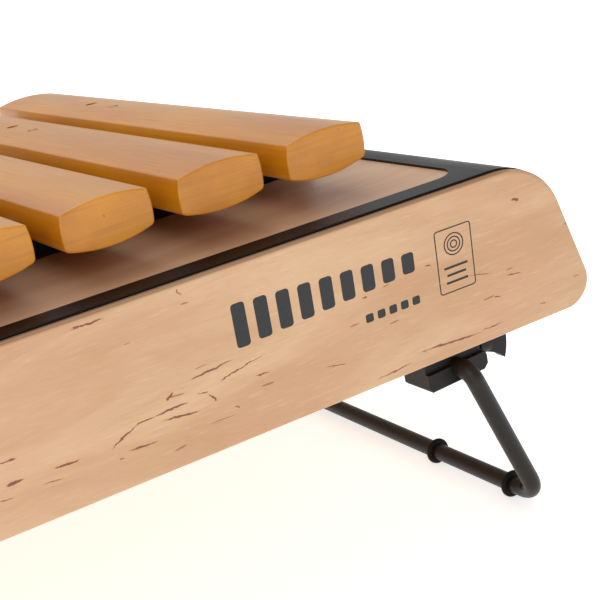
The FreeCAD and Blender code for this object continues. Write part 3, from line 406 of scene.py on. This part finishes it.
LOOKS = {
    "bar_wood": bar_timber(),
    "side_veneer": veneer("side_veneer_front", True),
    "deck_wood": deck_timber(),
    "plywood": raw_ply(),
    "black_laminate": black_surface("black_laminate", srgb(13, 9, 8), 0.30, 0.40, 1400.0,
                                    0.015 * MM, Specular_IOR_Level=0.27),
    "rail_black": black_surface("rail_black", srgb(20, 18, 18), 0.5, 0.65, 900.0, 0.03 * MM,
                                Specular_IOR_Level=0.12),
    "felt": felt_cloth(),
    "pin_steel": bright_steel("pin_steel", (0.62, 0.62, 0.63, 1), 0.28),
    "sleeve_rubber": black_surface("sleeve_rubber", srgb(26, 25, 25), 0.6, 0.75, 2200.0,
                                   0.02 * MM, Specular_IOR_Level=0.15),
    "rod_black": black_surface("rod_black", srgb(26, 19, 15), 0.34, 0.44, 3000.0, 0.02 * MM,
                               Specular_IOR_Level=0.32),
    "ring_rubber": black_surface("ring_rubber", srgb(18, 14, 13), 0.5, 0.65, 2600.0, 0.03 * MM,
                                 Specular_IOR_Level=0.15),
    "moulded_black": black_surface("moulded_black", srgb(24, 21, 20), 0.42, 0.55, 3200.0,
                                   0.04 * MM, Specular_IOR_Level=0.3),
    "knob_black": black_surface("knob_black", srgb(26, 25, 26), 0.38, 0.5, 3200.0, 0.02 * MM,
                                Specular_IOR_Level=0.25),
    "stud_steel": bright_steel("stud_steel", (0.55, 0.55, 0.56, 1), 0.3),
    "screw_steel": bright_steel("screw_steel", (0.30, 0.30, 0.31, 1), 0.35),
}
INK = ink()


def dress_cad_nodes():
    slots = {part["node"]: part["material_slot"] for part in frame["record"]["subparts"]}
    rear = veneer("side_veneer_rear", False)
    for name, thing in NODES.items():
        look = rear if name == "side_panel_rear" else LOOKS[slots[name]]
        thing.data.materials.clear()
        thing.data.materials.append(look)


# ---- new pieces ----------------------------------------------------------------------

def new_piece(name, mesh, look, body):
    piece = bpy.data.objects.new(name, mesh)
    bpy.context.scene.collection.objects.link(piece)
    mesh.materials.append(look)
    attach(piece, body)
    return piece


CORNER_STEPS = 5
CIRCLE_STEPS = 32


def rounded_rectangle(centre, size, radius):
    """Corner points, counter-clockwise, of a rounded rectangle in the panel's millimetres."""
    points = []
    half = (size[0] / 2 - radius, size[1] / 2 - radius)
    for k, (sx, sy) in enumerate(((1, 1), (-1, 1), (-1, -1), (1, -1))):
        for step in range(CORNER_STEPS + 1):
            angle = math.radians(90 * (k + step / CORNER_STEPS))
            points.append((centre[0] + sx * half[0] + radius * math.cos(angle),
                           centre[1] + sy * half[1] + radius * math.sin(angle)))
    return points


def circle_points(centre, radius):
    angles = [math.tau * k / CIRCLE_STEPS for k in range(CIRCLE_STEPS)]
    return [(centre[0] + radius * math.cos(angle), centre[1] + radius * math.sin(angle))
            for angle in angles]


INK_LIFT = 0.06 * MM


def add_patch(mesh, outline):
    """A thin raised patch on the front panel, with side walls down to its face."""
    top = [mesh.verts.new(on_panel(along, -up, INK_LIFT)) for along, up in outline]
    foot = [mesh.verts.new(on_panel(along, -up, -INK_LIFT)) for along, up in outline]
    mesh.faces.new(top)
    mesh.faces.new(list(reversed(foot)))
    for k in range(len(outline)):
        after = (k + 1) % len(outline)
        mesh.faces.new((top[k], foot[k], foot[after], top[after]))


def add_ring(mesh, outer, inner):
    """A thin raised closed line between two outlines with equally many points."""
    rings = [[mesh.verts.new(on_panel(along, -up, lift)) for along, up in outline]
             for outline, lift in ((outer, INK_LIFT), (inner, INK_LIFT),
                                   (inner, -INK_LIFT), (outer, -INK_LIFT))]
    count = len(outer)
    for first, second in zip(rings, rings[1:] + rings[:1]):
        for k in range(count):
            after = (k + 1) % count
            mesh.faces.new((first[k], second[k], second[after], first[after]))


def finish_mesh(name, build):
    mesh = bmesh.new()
    build(mesh)
    bmesh.ops.recalc_face_normals(mesh, faces=mesh.faces)
    data = bpy.data.meshes.new(name)
    mesh.to_mesh(data)
    mesh.free()
    return data


# The print, in millimetres along the panel (towards the bass) and up from the rim's top.
BAR_MARKS = 9
BAR_MARK_FIRST, BAR_MARK_LAST, BAR_MARK_LEVEL = -94.0, -10.0, -28.0
BAR_MARK_WIDTH, BAR_MARK_TALLEST, BAR_MARK_FALL, BAR_MARK_RADIUS = 6.4, 20.0, 1.3, 1.6
SQUARES, SQUARE_FIRST, SQUARE_PITCH, SQUARE_LEVEL = 5, -33.0, 6.2, -46.5
SQUARE_SIDE, SQUARE_RADIUS = 4.0, 0.9
FRAME_CENTRE, FRAME_SIZE, FRAME_RADIUS, FRAME_LINE = (15.0, -33.8), (20.0, 31.0), 1.6, 0.55
RING_RISE, RING_RADII, RING_LINE = 7.2, (5.4, 3.7, 2.0), 0.6
RULE_WIDTHS, RULE_START, RULE_PITCH, RULE_HEIGHT, RULE_RADIUS = (13.0, 10.5, 12.0), 3.4, 3.6, 1.1, 0.4


def bars_mark(mesh):
    """A wordless sign: nine upright bars that fall in height."""
    for k in range(BAR_MARKS):
        along = BAR_MARK_FIRST + (BAR_MARK_LAST - BAR_MARK_FIRST) * k / (BAR_MARKS - 1)
        height = BAR_MARK_TALLEST - BAR_MARK_FALL * k
        add_patch(mesh, rounded_rectangle((along, BAR_MARK_LEVEL), (BAR_MARK_WIDTH, height),
                                          BAR_MARK_RADIUS))


def small_mark(mesh):
    """A row of small squares."""
    for k in range(SQUARES):
        add_patch(mesh, rounded_rectangle((SQUARE_FIRST + SQUARE_PITCH * k, SQUARE_LEVEL),
                                          (SQUARE_SIDE, SQUARE_SIDE), SQUARE_RADIUS))


def framed_mark(mesh):
    """A rounded frame with growth rings and three plain lines."""
    inner_size = (FRAME_SIZE[0] - 2 * FRAME_LINE, FRAME_SIZE[1] - 2 * FRAME_LINE)
    add_ring(mesh, rounded_rectangle(FRAME_CENTRE, FRAME_SIZE, FRAME_RADIUS),
             rounded_rectangle(FRAME_CENTRE, inner_size, FRAME_RADIUS - FRAME_LINE))
    middle = (FRAME_CENTRE[0], FRAME_CENTRE[1] + RING_RISE)
    for radius in RING_RADII:
        add_ring(mesh, circle_points(middle, radius), circle_points(middle, radius - RING_LINE))
    for k, width in enumerate(RULE_WIDTHS):
        level = FRAME_CENTRE[1] - RULE_START - RULE_PITCH * k
        add_patch(mesh, rounded_rectangle((FRAME_CENTRE[0], level), (width, RULE_HEIGHT),
                                          RULE_RADIUS))


def print_panel():
    for name, build in (("print_bars", bars_mark), ("print_squares", small_mark),
                        ("print_frame", framed_mark)):
        new_piece(name, finish_mesh(name, build), INK, "case")


LETTER_SIZE = 6.5 * MM * 1.35
LETTER_FROM_HOLE = 33 * MM
LETTER_LIFT = 0.03 * MM
LETTER_DROP = 5 * MM      # height above the bar from which a letter is laid on it
NODAL_SHARE = 0.53        # the pin hole's distance from the middle plane over the front end's


def surface_tree(node):
    mesh = NODES[node].data
    return BVHTree.FromPolygons([vertex.co for vertex in mesh.vertices],
                                [tuple(face.vertices) for face in mesh.polygons])


def letter_mesh(name, letter):
    curve = bpy.data.curves.new(name, "FONT")
    curve.body = letter
    curve.size = LETTER_SIZE
    curve.align_x = "CENTER"
    curve.align_y = "CENTER"
    holder = bpy.data.objects.new(name, curve)
    bpy.context.scene.collection.objects.link(holder)
    bpy.context.view_layer.update()
    mesh = bpy.data.meshes.new_from_object(
        holder.evaluated_get(bpy.context.evaluated_depsgraph_get()))
    bpy.data.objects.remove(holder)
    return mesh


def note_letters():
    """Each bar's note name, printed for the player, who stands behind the instrument."""
    for name in sorted(node for node in NODES if node.startswith("bar_")):
        number, note = name.split("_")[1:]
        low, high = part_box(name)
        hole = -low.y * NODAL_SHARE
        place = Vector(((low.x + high.x) / 2, hole - LETTER_FROM_HOLE, high.z))
        tree = surface_tree(name)
        mesh = letter_mesh("note_" + number, note[0].upper())
        turn = Matrix.Rotation(math.pi, 4, "Z")
        for vertex in mesh.vertices:
            spot = turn @ vertex.co + place
            hit = tree.ray_cast(spot + Vector((0, 0, LETTER_DROP)), Vector((0, 0, -1)))[0]
            vertex.co = hit + Vector((0, 0, LETTER_LIFT))
        new_piece("note_letter_" + number, mesh, INK, "tone_bar_" + number)


# ---- floor, light and camera ---------------------------------------------------------

FLOOR_REACH = 30.0


def add_floor():
    mesh = bpy.data.meshes.new("floor")
    corners = [(x * FLOOR_REACH, y * FLOOR_REACH, 0) for x, y in ((-1, -1), (1, -1), (1, 1), (-1, 1))]
    mesh.from_pydata(corners, [], [(0, 1, 2, 3)])
    floor = bpy.data.objects.new("floor", mesh)
    bpy.context.scene.collection.objects.link(floor)
    mesh.materials.append(floor_paint())


WORLD_STRENGTH = 0.55
TOP_LIGHT = {"place": (-0.2, 0.9, 2.2), "target": (0, 0, 0.1), "size": (2.6, 1.8), "power": 26}
FRONT_LIGHT = {"place": (-1.2, -2.2, 1.3), "target": (0.1, -0.1, 0.15), "size": (1.6, 1.2),
               "power": 15}


def add_area_light(name, place, target, size, power):
    data = bpy.data.lights.new(name, "AREA")
    data.shape = "RECTANGLE"
    data.size, data.size_y = size
    data.energy = power
    light = bpy.data.objects.new(name, data)
    light.location = place
    light.rotation_mode = "QUATERNION"
    light.rotation_quaternion = (Vector(target) - Vector(place)).to_track_quat("-Z", "Y")
    bpy.context.scene.collection.objects.link(light)


def add_lights():
    world = bpy.data.worlds.new("studio")
    bpy.context.scene.world = world
    world.use_nodes = True
    world.node_tree.nodes["Background"].inputs["Color"].default_value = (1.0, 1.0, 1.0, 1)
    world.node_tree.nodes["Background"].inputs["Strength"].default_value = WORLD_STRENGTH
    add_area_light("top_softbox", **TOP_LIGHT)
    add_area_light("front_softbox", **FRONT_LIGHT)
    bpy.context.scene.view_settings.view_transform = "Standard"


CAMERA_PLACE = Vector((0.0314, -0.6279, 0.3233))
CAMERA_HEADING = 29.33    # degrees from +Y towards +X
CAMERA_DIP = 18.61        # degrees below the horizon
CAMERA_ROLL = 11.66       # degrees, its top towards its own right
CAMERA_LENS = 73.76
CAMERA_SENSOR = 36.0


def add_camera():
    heading, dip = math.radians(CAMERA_HEADING), math.radians(CAMERA_DIP)
    forward = Vector((math.sin(heading) * math.cos(dip), math.cos(heading) * math.cos(dip),
                      -math.sin(dip)))
    right = forward.cross(Vector((0, 0, 1))).normalized()
    up = right.cross(forward)
    roll = math.radians(CAMERA_ROLL)
    up, right = (up * math.cos(roll) + right * math.sin(roll),
                 right * math.cos(roll) - up * math.sin(roll))
    data = bpy.data.cameras.new("camera")
    data.lens = CAMERA_LENS
    data.sensor_width = CAMERA_SENSOR
    camera = bpy.data.objects.new("camera", data)
    turn = Matrix((right, up, -forward)).transposed()
    camera.matrix_world = Matrix.Translation(CAMERA_PLACE) @ turn.to_4x4()
    bpy.context.scene.collection.objects.link(camera)
    bpy.context.scene.camera = camera


dress_cad_nodes()
print_panel()
note_letters()
add_floor()
add_lights()
add_camera()
